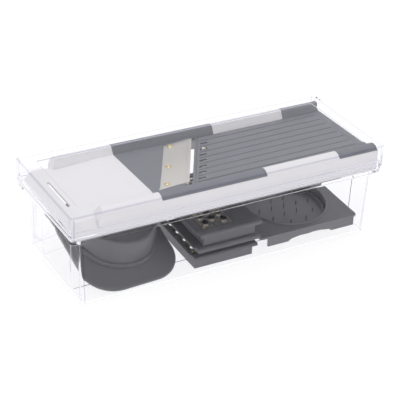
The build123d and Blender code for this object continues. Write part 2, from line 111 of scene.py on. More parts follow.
class MandolineStage(bpy.types.PropertyGroup):
    """Floor and light settings."""

    floor_tone: number("Floor tone", "Brightness of the pale floor", 0.2)
    floor_glow: number("Floor glow", "Light given off by the floor, as by a lit table", 0.86)
    sky: number("Soft light", "Strength of the even light from all round", 0.85, high=10.0)
    key: number("Key light", "Power of the large light above", 5.2, 0.0, 100.0, "POWER")
    fill: number("Fill light", "Power of the light from the front left", 0.7, 0.0, 100.0, "POWER")


def finish_settings():
    return bpy.context.scene.mandoline_finish


class BuildStep:
    """One step of the build; its build method gets the settings it works with."""

    settings = "mandoline_finish"

    def execute(self, context):
        self.build(getattr(context.scene, self.settings))
        return {"FINISHED"}


# ------------ shader effects


def effect_group(name, inputs, outputs):
    """A new shader node group with its named sockets, and its input and output nodes."""
    group = bpy.data.node_groups.new(name, "ShaderNodeTree")
    for label, default in inputs:
        kind = "NodeSocketColor" if hasattr(default, "__len__") else "NodeSocketFloat"
        socket = group.interface.new_socket(name=label, in_out="INPUT", socket_type=kind)
        socket.default_value = (*default, 1.0) if kind == "NodeSocketColor" else default
    for label, kind in outputs:
        group.interface.new_socket(name=label, in_out="OUTPUT", socket_type=kind)
    source = group.nodes.new("NodeGroupInput")
    sink = group.nodes.new("NodeGroupOutput")
    return group, source, sink


def maths(tree, operation, a, b=None, c=None):
    """A Math node; a, b and c are sockets or numbers."""
    node = tree.nodes.new("ShaderNodeMath")
    node.operation = operation
    for socket, value in zip(node.inputs, (a, b, c)):
        if value is not None:
            feed(tree, socket, value)
    return node.outputs[0]


def feed(tree, socket, value):
    """Links a socket to another one, or sets it to a number."""
    if hasattr(value, "links"):
        tree.links.new(value, socket)
    else:
        socket.default_value = value


def noise(tree, vector, scale, detail=2.0, roughness=0.5):
    node = tree.nodes.new("ShaderNodeTexNoise")
    node.inputs["Detail"].default_value = detail
    node.inputs["Roughness"].default_value = roughness
    feed(tree, node.inputs["Scale"], scale)
    tree.links.new(vector, node.inputs["Vector"])
    return node.outputs["Fac"]


def swayed(tree, fac, amount, middle):
    """A value that a noise moves up and down round its middle."""
    return maths(tree, "MULTIPLY_ADD", maths(tree, "SUBTRACT", fac, 0.5), amount, middle)


def object_coordinates(tree):
    return tree.nodes.new("ShaderNodeTexCoord").outputs["Object"]


LOOK_OUTPUTS = [("Color", "NodeSocketColor"), ("Roughness", "NodeSocketFloat"),
                ("Height", "NodeSocketFloat")]
FINE_GRAIN = 2600.0  # grains in a metre


def close_look(group, source, sink, tone, rough, height):
    """Ends an effect group: its colour scaled by the tone, its roughness and its height."""
    scale = group.nodes.new("ShaderNodeVectorMath")
    scale.operation = "SCALE"
    group.links.new(source.outputs["Color"], scale.inputs[0])
    group.links.new(tone, scale.inputs["Scale"])
    for label, socket in (("Color", scale.outputs[0]), ("Roughness", rough), ("Height", height)):
        group.links.new(socket, sink.inputs[label])
    return group


def moulded_skin_group():
    """Fine spark-eroded grain with broad, faint changes of tone, as on injection mouldings."""
    group, source, sink = effect_group(
        "moulded_skin",
        [("Color", (0.5, 0.5, 0.5)), ("Tone Change", 0.05), ("Roughness", 0.45),
         ("Roughness Change", 0.1), ("Grain Scale", FINE_GRAIN)], LOOK_OUTPUTS)
    given, where = source.outputs, object_coordinates(group)
    grain = noise(group, where, given["Grain Scale"], 3.0, 0.6)
    broad = noise(group, where, 28.0, 2.0)
    fine = noise(group, where, 240.0, 3.0)
    tone = swayed(group, grain, 0.05, swayed(group, broad, given["Tone Change"], 1.0))
    rough = swayed(group, fine, given["Roughness Change"], given["Roughness"])
    return close_look(group, source, sink, tone, rough, grain)


def brushed_group():
    """Fine straight scratches along one direction, for rolled and ground steel."""
    group, source, sink = effect_group(
        "brushed_lines",
        [("Color", (0.6, 0.6, 0.6)), ("Turn", 0.0), ("Streaks", 0.12), ("Roughness", 0.3)],
        LOOK_OUTPUTS)
    given = source.outputs
    turn = group.nodes.new("ShaderNodeVectorRotate")
    turn.rotation_type = "Z_AXIS"
    group.links.new(object_coordinates(group), turn.inputs["Vector"])
    group.links.new(given["Turn"], turn.inputs["Angle"])
    stretch = group.nodes.new("ShaderNodeVectorMath")
    stretch.operation = "MULTIPLY"
    stretch.inputs[1].default_value = (60.0, 4200.0, 60.0)
    group.links.new(turn.outputs[0], stretch.inputs[0])
    lines = noise(group, stretch.outputs[0], 1.0, 4.0, 0.65)
    cloud = noise(group, object_coordinates(group), 45.0, 2.0)
    tone = swayed(group, cloud, 0.16, swayed(group, lines, given["Streaks"], 1.0))
    rough = swayed(group, lines, 0.18, given["Roughness"])
    return close_look(group, source, sink, tone, rough, lines)


def new_material(name):
    made = bpy.data.materials.new(name)
    made.use_nodes = True
    tree = made.node_tree
    return made, tree, tree.nodes["Principled BSDF"]


def place_look(tree, shader, name, values):
    """Puts an effect group before the shader, and gives its outputs."""
    node = tree.nodes.new("ShaderNodeGroup")
    node.node_tree = bpy.data.node_groups.get(name) or LOOKS[name]()
    for label, value in values.items():
        node.inputs[label].default_value = (*value, 1.0) if hasattr(value, "__len__") else value
    tree.links.new(node.outputs["Color"], shader.inputs["Base Color"])
    tree.links.new(node.outputs["Roughness"], shader.inputs["Roughness"])
    return node.outputs


def bump(tree, shader, height, strength, distance):
    node = tree.nodes.new("ShaderNodeBump")
    node.inputs["Strength"].default_value = strength
    node.inputs["Distance"].default_value = distance
    tree.links.new(height, node.inputs["Height"])
    tree.links.new(node.outputs["Normal"], shader.inputs["Normal"])


def kept(name, make):
    """The material of that name, made the first time it is asked for."""
    return bpy.data.materials.get(name) or make(name)


LOOKS = {"moulded_skin": moulded_skin_group, "brushed_lines": brushed_group}


def dressed(name, look, values, settings, strength, depth):
    """The material of that name: an effect group on a Principled shader, with its bump."""
    def make(label):
        made, tree, shader = new_material(label)
        outputs = place_look(tree, shader, look, values)
        for socket, value in settings.items():
            shader.inputs[socket].default_value = value
        bump(tree, shader, outputs["Height"], strength, depth * MM)
        return made
    return kept(name, make)


def moulding(name, color, roughness, tone=0.05):
    """Material of a plastic moulding."""
    return dressed(name, "moulded_skin",
                   {"Color": color, "Roughness": roughness, "Tone Change": tone,
                    "Grain Scale": FINE_GRAIN},
                   {"Specular IOR Level": 0.4}, 0.12, 0.08)


def steel_sheet(name, color, turn, roughness=0.32, streaks=0.12):
    """Material of a brushed steel piece; turn is the direction of its scratches from X."""
    return dressed(name, "brushed_lines",
                   {"Color": color, "Turn": turn, "Streaks": streaks, "Roughness": roughness},
                   {"Metallic": 1.0, "Anisotropic": 0.4}, 0.12, 0.03)


def brass_rivet(name, color):
    """Material of a bright brass rivet with a few stains."""
    return dressed(name, "moulded_skin",
                   {"Color": color, "Roughness": 0.24, "Tone Change": 0.3, "Grain Scale": 1500.0},
                   {"Metallic": 1.0}, 0.1, 0.05)


# Painted shade: the clear plastic's colour darkens where its surface is seen edge-on, standing in
# for the grey edges that reflections give it.
GRAZING_SHADE, GRAZING_POWER = 0.78, 6.0  # share of the tint left along the surface, and how fast
DEEPEST_PASS, DEEPEST_RAY = 3.5, 4.5  # a ray caught in the walls goes straight on after these


def clear_plastic(name, color):
    """Clear polystyrene. Shadow rays pass straight through, so what is inside stays well lit."""
    def make(label):
        made, tree, shader = new_material(label)
        # painted shade towards grazing view
        slant = tree.nodes.new("ShaderNodeLayerWeight").outputs["Facing"]
        shades = tree.nodes.new("ShaderNodeMix")
        shades.data_type = "RGBA"
        shades.inputs["A"].default_value = (*color, 1.0)
        shades.inputs["B"].default_value = (*(c * GRAZING_SHADE for c in color), 1.0)
        tree.links.new(maths(tree, "POWER", slant, GRAZING_POWER), shades.inputs["Factor"])
        tree.links.new(shades.outputs["Result"], shader.inputs["Base Color"])
        shader.inputs["Roughness"].default_value = 0.0
        shader.inputs["IOR"].default_value = finish_settings().clear_ior
        shader.inputs["Transmission Weight"].default_value = 1.0
        waves = noise(tree, object_coordinates(tree), 22.0, 2.0)
        bump(tree, shader, waves, 0.05, 0.4 * MM)
        through = tree.nodes.new("ShaderNodeBsdfTransparent")
        through.inputs["Color"].default_value = (*color, 1.0)
        path = tree.nodes.new("ShaderNodeLightPath").outputs
        either = maths(tree, "MAXIMUM", path["Is Shadow Ray"], path["Is Diffuse Ray"])
        trapped = maths(tree, "MAXIMUM",
                        maths(tree, "GREATER_THAN", path["Transmission Depth"], DEEPEST_PASS),
                        maths(tree, "GREATER_THAN", path["Ray Depth"], DEEPEST_RAY))
        mix = tree.nodes.new("ShaderNodeMixShader")
        tree.links.new(maths(tree, "MAXIMUM", either, trapped), mix.inputs["Fac"])
        tree.links.new(shader.outputs["BSDF"], mix.inputs[1])
        tree.links.new(through.outputs["BSDF"], mix.inputs[2])
        tree.links.new(mix.outputs["Shader"], tree.nodes["Material Output"].inputs["Surface"])
        return made
    return kept(name, make)


# ------------ mesh helpers


def add_object(name, mesh):
    made = bpy.data.objects.new(name, mesh)
    bpy.context.scene.collection.objects.link(made)
    return made


def shade(mesh, angle=35.0):
    """Smooth faces, with edges sharper than the angle left crisp."""
    for face in mesh.polygons:
        face.use_smooth = True
    mesh.set_sharp_from_angle(angle=math.radians(angle))


def from_bmesh(name, bm, material, angle=35.0):
    """An object from a bmesh, with its doubles merged and its faces turned outwards."""
    bmesh.ops.remove_doubles(bm, verts=bm.verts, dist=1e-7)
    bmesh.ops.recalc_face_normals(bm, faces=bm.faces)
    mesh = bpy.data.meshes.new(name)
    bm.to_mesh(mesh)
    bm.free()
    mesh.materials.append(material)
    shade(mesh, angle)
    return add_object(name, mesh)


def applied(obj):
    """The object with its modifiers made part of its mesh."""
    depsgraph = bpy.context.evaluated_depsgraph_get()
    mesh = bpy.data.meshes.new_from_object(obj.evaluated_get(depsgraph))
    obj.modifiers.clear()
    old = obj.data
    obj.data = mesh
    bpy.data.meshes.remove(old)
    return obj


def rounded_copy(node, material, width):
    """A copy of a CAD node with its sharp edges rounded."""
    bm = bmesh.new()
    bm.from_mesh(NODES[node].data)
    bmesh.ops.remove_doubles(bm, verts=bm.verts, dist=1e-6)
    bmesh.ops.dissolve_limit(bm, angle_limit=math.radians(0.6), verts=bm.verts, edges=bm.edges)
    mesh = bpy.data.meshes.new(node)
    bm.to_mesh(mesh)
    bm.free()
    mesh.materials.clear()
    mesh.materials.append(material)
    made = add_object(f"{node}_finished", mesh)
    bevel = made.modifiers.new("rounding", "BEVEL")
    bevel.width = width
    bevel.segments = 2
    bevel.limit_method = "ANGLE"
    bevel.angle_limit = math.radians(30)
    bevel.miter_outer = "MITER_ARC"
    applied(made)
    shade(made.data, 40.0)
    return even_shading(made)


def even_shading(obj):
    """Large faces keep their own direction, so the small rounded edges don't shade across them."""
    weighted = obj.modifiers.new("even", "WEIGHTED_NORMAL")
    weighted.keep_sharp = True
    return applied(obj)


def settle(piece, body, slot, *nodes):
    """The piece rides on a body and stands for CAD nodes, which are hidden; slot is not used."""
    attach(piece, body)
    if nodes:
        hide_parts(*nodes)


def loop_points(half_x, half_y, radius, z, steps):
    """Points round a rounded rectangle, anticlockwise from its +X side."""
    points = []
    corners = [(1, 1, 0), (-1, 1, 90), (-1, -1, 180), (1, -1, 270)]
    for sx, sy, start in corners:
        cx, cy = sx * (half_x - radius), sy * (half_y - radius)
        for i in range(steps + 1):
            turn = math.radians(start + 90 * i / steps)
            points.append((cx + radius * math.cos(turn), cy + radius * math.sin(turn), z))
    return points


def skin(bm, loops, cap_first=True, cap_last=True):
    """Joins loops of points with quads, and closes the first and last one."""
    rows = [[bm.verts.new(p) for p in loop] for loop in loops]
    for low, high in zip(rows, rows[1:]):
        for i in range(len(low)):
            j = (i + 1) % len(low)
            bm.faces.new((low[i], low[j], high[j], high[i]))
    if cap_first:
        bm.faces.new(list(reversed(rows[0])))
    if cap_last:
        bm.faces.new(rows[-1])
    return rows


def arc(cx, cz, radius, start, end, steps=5):
    """(offset, z) points on an arc, angles in degrees."""
    for i in range(steps + 1):
        turn = math.radians(start + (end - start) * i / steps)
        yield cx + radius * math.cos(turn), cz + radius * math.sin(turn)


# ------------ geometry nodes


class Tree:
    """A Geometry Nodes tree with named inputs, and short ways to add and join its nodes."""

    def __init__(self, name, inputs):
        self.group = bpy.data.node_groups.new(name, "GeometryNodeTree")
        self.sockets = {}
        face = self.group.interface
        for label, kind, default in inputs:
            socket = face.new_socket(name=label, in_out="INPUT", socket_type=f"NodeSocket{kind}")
            if default is not None:
                socket.default_value = default
            self.sockets[label] = socket.identifier
        face.new_socket(name="Geometry", in_out="OUTPUT", socket_type="NodeSocketGeometry")
        self.source = self.group.nodes.new("NodeGroupInput")

    def value(self, label):
        return self.source.outputs[label]

    def add(self, kind, inputs=None, **settings):
        """The first output of a new node; inputs maps its sockets to sockets or values."""
        node = self.group.nodes.new(kind if kind.startswith("Shader") else f"GeometryNode{kind}")
        for key, setting in settings.items():
            setattr(node, key, setting)
        for key, value in (inputs or {}).items():
            for one in value if isinstance(value, list) else [value]:
                feed(self.group, node.inputs[key], one)
        return node.outputs[0]

    def sum(self, *parts):
        """Joined geometry of several sockets."""
        return self.add("JoinGeometry", {0: list(reversed(parts))})

    def maths(self, operation, a, b=0.0):
        return self.add("ShaderNodeMath", {0: a, 1: b}, operation=operation)

    def place(self, x=0.0, y=0.0, z=0.0):
        return self.add("ShaderNodeCombineXYZ", {0: x, 1: y, 2: z})

    def position(self):
        """The X, Y and Z sockets of every point's place."""
        where = self.add("InputPosition")
        return self.add("ShaderNodeSeparateXYZ", {0: where}).node.outputs

    def grid(self, columns, rows, pitch_x, pitch_y, stagger):
        """Points in columns along X and rows along Y; every second column is moved along Y."""
        maths = self.maths
        wide = maths("MULTIPLY", maths("SUBTRACT", columns, 1), pitch_x)
        deep = maths("MULTIPLY", maths("SUBTRACT", rows, 1), pitch_y)
        mesh = self.add("MeshGrid", {
            "Size X": wide, "Size Y": deep, "Vertices X": columns, "Vertices Y": rows})
        from_first = maths("ADD", self.position()[0], maths("DIVIDE", wide, 2.0))
        odd = maths("MODULO", maths("ROUND", maths("DIVIDE", from_first, pitch_x)), 2.0)
        shift = self.place(y=maths("MULTIPLY", odd, stagger))
        return self.add("SetPosition", {"Geometry": mesh, "Offset": shift})

    def cylinder(self, vertices, radius, depth):
        return self.add("MeshCylinder", {
            "Vertices": vertices, "Radius": radius, "Depth": depth})

    def repeat(self, points, instance):
        """An instance on every point, made real."""
        copies = self.add("InstanceOnPoints", {"Points": points, "Instance": instance})
        return self.add("RealizeInstances", {0: copies})

    def moved(self, geometry, translation):
        return self.add("Transform", {
            "Geometry": geometry, "Translation": translation})

    def close(self, geometry):
        """Ends the tree in Realize Instances and Set Material."""
        real = self.add("RealizeInstances", {0: geometry})
        last = self.add("SetMaterial", {
            "Geometry": real, "Material": self.value("Material")})
        self.group.links.new(last, self.group.nodes.new("NodeGroupOutput").inputs[0])
        return self


def lane_tree():
    """Copies the object's mesh across a slanted line, then trims and tilts the copies."""
    tree = Tree("lane_repeat", [
        ("Unit", "Geometry", None), ("Count", "Int", 7), ("Pitch", "Float", 0.012),
        ("Slant", "Float", 0.5), ("Trim X", "Float", 1.0), ("Rise", "Float", 0.0),
        ("Rise From", "Float", 0.0), ("Material", "Material", None)])
    value, maths = tree.value, tree.maths
    pitch, slant = value("Pitch"), value("Slant")
    half = maths("MULTIPLY", maths("SUBTRACT", value("Count"), 1), maths("MULTIPLY", pitch, -0.5))
    line = tree.add("MeshLine", {
        "Count": value("Count"), "Start Location": tree.place(maths("MULTIPLY", half, slant), half),
        "Offset": tree.place(maths("MULTIPLY", pitch, slant), pitch)},
        mode="OFFSET", count_mode="TOTAL")
    copies = tree.repeat(line, value("Unit"))
    at = tree.position()
    x = maths("MINIMUM", at[0], value("Trim X"))
    lift = maths("MULTIPLY", maths("SUBTRACT", x, value("Rise From")), value("Rise"))
    moved = tree.place(x, at[1], maths("ADD", at[2], lift))
    return tree.close(tree.add("SetPosition", {"Geometry": copies, "Position": moved}))


def rivet_tree():
    """A domed head with a rolled rim on every point of the object's mesh."""
    tree = Tree("rivet_heads", [
        ("Points", "Geometry", None), ("Radius", "Float", 0.003), ("Height", "Float", 0.001),
        ("Shank", "Float", 0.004), ("Material", "Material", None)])
    maths, radius, deep = tree.maths, tree.value("Radius"), tree.value("Shank")
    cap = maths("MULTIPLY", radius, 0.62)
    dome = tree.add("MeshUVSphere", {"Segments": 28, "Rings": 14, "Radius": cap})
    flat = tree.place(1.0, 1.0, maths("DIVIDE", tree.value("Height"), cap))
    dome = tree.add("Transform", {"Geometry": dome, "Scale": flat})
    path = tree.add("CurvePrimitiveCircle", {
        "Resolution": 32, "Radius": maths("MULTIPLY", radius, 0.8)})
    wire = tree.add("CurvePrimitiveCircle", {
        "Resolution": 10, "Radius": maths("MULTIPLY", radius, 0.2)})
    rim = tree.add("CurveToMesh", {"Curve": path, "Profile Curve": wire})
    shank = tree.moved(tree.cylinder(20, maths("MULTIPLY", radius, 0.5), deep),
                       tree.place(z=maths("MULTIPLY", deep, -0.5)))
    return tree.close(tree.repeat(tree.value("Points"), tree.sum(dome, rim, shank)))


def prong_tree():
    """A pointed pin on every point of the object's mesh."""
    tree = Tree("pointed_prongs", [
        ("Points", "Geometry", None), ("Radius", "Float", 0.0007), ("Height", "Float", 0.008),
        ("Tip", "Float", 0.002), ("Material", "Material", None)])
    radius, tip = tree.value("Radius"), tree.value("Tip")
    body = tree.maths("SUBTRACT", tree.value("Height"), tip)
    middle = tree.place(z=tree.maths("MULTIPLY", body, 0.5))
    pin = tree.moved(tree.cylinder(14, radius, body), middle)
    cone = tree.add("MeshCone", {
        "Vertices": 14, "Radius Top": 0.08 * MM, "Radius Bottom": radius, "Depth": tip})
    cone = tree.moved(cone, tree.place(z=body))
    return tree.close(tree.repeat(tree.value("Points"), tree.sum(pin, cone)))


def holed_sheet_tree():
    """A flat sheet with round holes in staggered columns, each with a raised collar."""
    tree = Tree("holed_sheet", [
        ("Sheet Size", "Vector", (0.03, 0.09, 0.0008)), ("Sheet Center", "Vector", (0.0, 0.0, 0.0)),
        ("Pattern Center", "Vector", (0.0, 0.0, 0.0)), ("Columns", "Int", 3), ("Rows", "Int", 7),
        ("Pitch X", "Float", 0.011), ("Pitch Y", "Float", 0.012), ("Stagger", "Float", 0.006),
        ("Hole Radius", "Float", 0.0036), ("Collar Radius", "Float", 0.0046),
        ("Collar Height", "Float", 0.0015), ("Material", "Material", None)])
    value = tree.value
    sheet = tree.moved(tree.add("MeshCube", {"Size": value("Sheet Size")}),
                       value("Sheet Center"))
    pattern = (value(label) for label in ("Columns", "Rows", "Pitch X", "Pitch Y", "Stagger"))
    points = tree.moved(tree.grid(*pattern), value("Pattern Center"))
    collar = tree.cylinder(28, value("Collar Radius"), value("Collar Height"))
    hole = tree.cylinder(28, value("Hole Radius"), 8 * MM)
    raised = tree.add("MeshBoolean", {"Mesh 2": [sheet, tree.repeat(points, collar)]},
                      operation="UNION", solver="EXACT")
    return tree.close(tree.add(
        "MeshBoolean", {"Mesh 1": raised, "Mesh 2": tree.repeat(points, hole)},
        operation="DIFFERENCE", solver="EXACT"))


TREES = {"lanes": lane_tree, "rivets": rivet_tree, "prongs": prong_tree,
         "holed_sheet": holed_sheet_tree}
BUILT_TREES = {}


def grown(obj, kind, values, angle=35.0):
    """The object with a tree of nodes run on its mesh, made a plain mesh."""
    if kind not in BUILT_TREES:
        BUILT_TREES[kind] = TREES[kind]()
    tree = BUILT_TREES[kind]
    made = obj.modifiers.new(kind, "NODES")
    made.node_group = tree.group
    for label, value in values.items():
        made[tree.sockets[label]] = value
    applied(obj)
    shade(obj.data, angle)
    return obj


def bare_points(name, points):
    """An object whose mesh is single points, in mm."""
    mesh = bpy.data.meshes.new(name)
    mesh.from_pydata([tuple(c * MM for c in p) for p in points], [], [])
    return add_object(name, mesh)


def sweep(bm, *rows):
    """A closed solid through rows of matching points in mm."""
    skin(bm, [[(x * MM, y * MM, z * MM) for x, y, z in row] for row in rows])


def brick(bm, x0, x1, y0, y1, z0, z1):
    sweep(bm, *([(x0, y0, z), (x1, y0, z), (x1, y1, z), (x0, y1, z)] for z in (z0, z1)))


def post(bm, centre, radius, low, high, axis=2, sides=20):
    """A round post along an axis; centre gives the other two coordinates in order."""
    rows = []
    for along in (low, high):
        row = []
        for i in range(sides):
            turn = 2 * math.pi * i / sides
            point = [centre[0] + radius * math.cos(turn), centre[1] + radius * math.sin(turn)]
            point.insert(axis, along)
            row.append(tuple(point))
        rows.append(row)
    sweep(bm, *rows)


def joined(first, *others):
    """One object from several; the first one's name is kept."""
    bm = bmesh.new()
    for obj in (first, *others):
        bm.from_mesh(obj.data)
    bm.to_mesh(first.data)
    bm.free()
    for obj in others:
        old = obj.data
        bpy.data.objects.remove(obj)
        bpy.data.meshes.remove(old)
    shade(first.data)
    return first


# ------------ clear box and lid


def shell_loops(profile, steps):
    """Loops from (half length, half width, corner radius, z) rows in mm."""
    return [loop_points(a * MM, b * MM, max(r, 0.3) * MM, z * MM, steps) for a, b, r, z in profile]


BOX_CORNER, LID_CORNER = 4.5, 4.5
# outer faces, as half length and half width: the box's foot and wall top, its rim, the lid's skirt
FOOT, WALL_TOP, RIM, SKIRT = (171.2, 65.5), (173.6, 65.9), (183.3, 68.8), (185.0, 70.5)
WALL_TOP_Z, TRAY_Z, RIM_Z, LIP_Z = 71.5, 75.5, 82.0, 88.0
LID_LOW_Z, LID_TOP_Z, PANEL_Z, LID_WALL = 82.45, 106.7, 105.9, 2.0
PANEL_EDGE = (168.5, 52.5, 2.0)  # half length, half width and corner of the lid's sunk panel


def rounded(row, radius, start, end, steps=5):
    """Rows of a rounded edge; row is the (half length, half width, corner, z) of its centre."""
    a, b, corner, z = row
    return [(a + out, b + out, corner + out, z + high)
            for out, high in arc(0, 0, radius, start, end, steps)]


def box_profile(fillet):
    """Outer wall from the foot up over the rim and down the inner wall to the floor, in mm."""
    corner = BOX_CORNER
    return [
        *rounded((FOOT[0] - fillet, FOOT[1] - fillet, corner - fillet, fillet), fillet, -90, 0),
        (*WALL_TOP, corner, WALL_TOP_Z),
        *rounded((176.7, 69.0, corner + 1, WALL_TOP_Z), 3.0, 180, 90, 4),  # hollow below the tray
        *rounded((182.7, 68.2, corner - 1, TRAY_Z), 1.0, -90, 0, 3),  # outer foot of the rim
        *rounded((*RIM, corner - 0.4, RIM_Z), 0.4, 0, 90, 2),  # ledge the lid stands on
        (182.6, 68.1, corner - 0.5, RIM_Z + 0.4),
        *rounded((181.9, 67.4, corner - 1.2, LIP_Z - 0.7), 0.7, 0, 180, 4),  # lip inside the lid
        (181.2, 66.5, corner - 1.5, 77.3),
        *rounded((180.4, 65.7, corner - 2.3, 77.3), 0.8, 0, -90, 3),  # inner foot of the rim
        *rounded((172.8, 65.0, corner - 1.5, TRAY_Z), 1.0, 90, 180, 3),  # inner edge of the tray
        *rounded((167.2, 61.5, 0.5, 4.2), 2.0, 0, -90, 4),  # round the floor
    ]


def lid_profile(fillet):
    """Skirt from its lower edge up, over the top with its sunk panel, and down inside, in mm."""
    a, b = SKIRT
    rows = [(a - 1.7, b - 1.7, LID_CORNER - 1.4, LID_LOW_Z),
            (a - 0.3, b - 0.3, LID_CORNER - 0.3, LID_LOW_Z), (a, b, LID_CORNER, LID_LOW_Z + 0.3)]
    centre = (a - fillet, b - fillet, LID_CORNER - fillet, LID_TOP_Z - fillet)
    rows += rounded(centre, fillet, 0, 90)
    a, b, corner = PANEL_EDGE
    for out, z in ((0.5, LID_TOP_Z), (0.1, 106.55), (-0.2, 106.05), (-0.6, PANEL_Z)):
        rows.append((a + out, b + out, corner + out, z))
    return rows


def lid_inner_profile():
    """Inside of the lid from its top panel down to the skirt's lower edge, in mm."""
    a, b = SKIRT
    return [(168.3, 52.3, 1.8, LID_TOP_Z - LID_WALL),
            *rounded((a - 3.6, b - 3.6, LID_CORNER - 3.1, 103.1), 1.6, 90, 0, 4),
            (a - LID_WALL, b - LID_WALL, LID_CORNER - 1.5, LID_LOW_Z + 0.3)]


def clear_shell(name, loops, edges, walls, steps):
    """Shell of clear plastic; rows in edges and the corners of rows in walls get the darker edge
    tint, painted shade standing in for the grey lines that reflections give the edges of clear
    walls.
    """
    cfg = finish_settings()
    bm = bmesh.new()
    skin(bm, loops)
    bm.faces.ensure_lookup_table()
    count = len(loops[0])
    for row in range(len(loops) - 1):
        for i in range(count):
            at_corner = i % (steps + 1) in (0, steps - 1)
            if row in edges or (row in walls and at_corner):
                bm.faces[row * count + i].material_index = 1
    made = from_bmesh(name, bm, clear_plastic("clear_polystyrene", cfg.clear_tint))
    # second material: painted shade on the rounded edges and corners
    made.data.materials.append(clear_plastic("clear_edges", cfg.clear_edge))
    return made


RIB_YS, RIB_HALF = (-37.0, 37.0), 0.7
# (x, z) of a rib's outer and inner line, from the top of one end wall to the middle of the floor
RIB_OUTER = ((-170.9, 72.0), (-168.9, 4.0), (-166.6, 2.25))
RIB_INNER = ((-170.1, 72.0), (-168.1, 4.4), (-166.0, 3.0))


def box_ribs():
    """Low moulded ribs across the floor and up both end walls."""
    bm = bmesh.new()
    path, inner = ([*line, *((-x, z) for x, z in reversed(line))]
                   for line in (RIB_OUTER, RIB_INNER))
    last = len(path) - 2
    for y in RIB_YS:
        for side in range(last + 1):
            corners = [path[side], path[side + 1], inner[side + 1], inner[side]]
            rows = [[bm.verts.new((x * MM, (y + offset) * MM, z * MM)) for x, z in corners]
                    for offset in (-RIB_HALF, RIB_HALF)]
            for i in range(4):
                j = (i + 1) % 4
                if (i == 1 and side < last) or (i == 3 and side > 0):
                    continue  # no face where two lengths of the rib meet
                bm.faces.new((rows[0][i], rows[0][j], rows[1][j], rows[1][i]))
            bm.faces.new(rows[0][::-1])
            bm.faces.new(rows[1])
    clear = clear_plastic("clear_polystyrene", finish_settings().clear_tint)
    return from_bmesh("box_ribs", bm, clear)


class MANDOLINE_OT_storage_box(BuildStep, bpy.types.Operator):
    """Build the clear storage box with its drafted walls, tray and rim."""

    bl_idname = "mandoline.storage_box"
    bl_label = "Storage box"
    settings = "mandoline_shell"

    def build(self, cfg):
        loops = shell_loops(box_profile(cfg.foot_fillet / MM), cfg.corner_steps)
        # rows that get the painted edge shade
        edges = (1, 2, 3, 9, 10, 12, 13, 14, 17, 22, 27)
        shell = clear_shell("clear_box", loops, edges, (5, 15, 33), cfg.corner_steps)
        settle(shell, "box", "clear_box", "storage_box")
        settle(box_ribs(), "box", "clear_box")


class MANDOLINE_OT_storage_lid(BuildStep, bpy.types.Operator):
    """Build the clear lid with its sunk top panel."""

    bl_idname = "mandoline.storage_lid"
    bl_label = "Storage lid"
    settings = "mandoline_shell"

    def build(self, cfg):
        outside = shell_loops(lid_profile(cfg.lid_fillet / MM), cfg.corner_steps)
        inside = shell_loops(lid_inner_profile(), cfg.corner_steps)
        loops = list(reversed(outside)) + list(reversed(inside))
        # rows that get the painted edge shade
        edges = (0, 1, 2, 5, 6, 7, 10, 11)
        shell = clear_shell("clear_lid", loops, edges, (9, 13), cfg.corner_steps)
        settle(shell, "lid", "clear_lid", "storage_lid")


def rivet_heads(name, places, radius, height, shank):
    """Brass rivets at places in mm."""
    brass = brass_rivet("brass_rivet", finish_settings().brass)
    return grown(bare_points(name, places), "rivets", {
        "Radius": radius * MM, "Height": height * MM, "Shank": shank * MM, "Material": brass})


# ------------ slicer


# the cutting edge runs along x = EDGE_X + EDGE_SLOPE * y, and the blade falls away behind it
EDGE_X, EDGE_SLOPE, EDGE_Z = -16.0, 0.564, 98.5
BLADE_LONG, BLADE_BACK_Z = 34.2, 96.2
BLADE_ENDS = (-42.5, 46.5)
RIVET_YS, RIVET_INSET = (42.2, 0.8, -33.6), 7.8
# the runway plate: its outline, then its lanes, then the tooth slots at the lanes' starts
PLATE_HALF, PLATE_END, PLATE_THICK, PLATE_LOW, CHAMFER = 50.6, 169.5, 2.4, 95.0, 0.3
LANES, LANE_PITCH, GROOVE_HALF, GROOVE_DEEP = 7, 12.0, 0.6, 0.7
PLATE_GAP, SLOT_START, SLOT_END, SLOT_HALF = 3.7, 10.8, 19.5, 1.5
LANDS_END, PAST_PLATE = PLATE_END - 3.0, 300.0
COMB_HALF, COMB_LOW, COMB_TOP, TOOTH_TOP, PIN_LANE = 39.0, 86.4, 87.2, 94.4, 24.0
RAIL_START, FRAME_SHARPER = -152.0, 0.3  # the frame's edges are crisper than the other mouldings'


def edge_x(y):
    return EDGE_X + EDGE_SLOPE * y


def slot_start(y):
    return edge_x(y) + SLOT_START


def blade_top(back):
    """Height of the blade's top face at a distance from its edge; back is negative behind it."""
    return EDGE_Z + (EDGE_Z - BLADE_BACK_Z) * back / BLADE_LONG


PLATE_RISE = 2.0 / (PLATE_END - edge_x(-PLATE_HALF))


def plate_top(x):
    return PLATE_LOW + PLATE_RISE * (x - edge_x(-PLATE_HALF))


def slicing_blade(steel):
    """The slanted blade, with two fine ground lines behind its cutting edge."""
    top = [(-BLADE_LONG, 0.0)]
    for line in (-5.4, -3.4):
        top += [(line - 0.25, 0.0), (line, -0.14), (line + 0.25, 0.0)]
    nose = blade_top(0)
    section = [(back, blade_top(back) + deep) for back, deep in top]
    section += [(-0.05, nose - 0.02), (-0.05, nose - 0.1), (-3.0, 97.3),
                (-BLADE_LONG, BLADE_BACK_Z - 1.0)]
    bm = bmesh.new()
    sweep(bm, *([(edge_x(y) + back, y, z) for back, z in section] for y in BLADE_ENDS))
    return from_bmesh("slicing_blade_finished", bm, steel, 12.0)


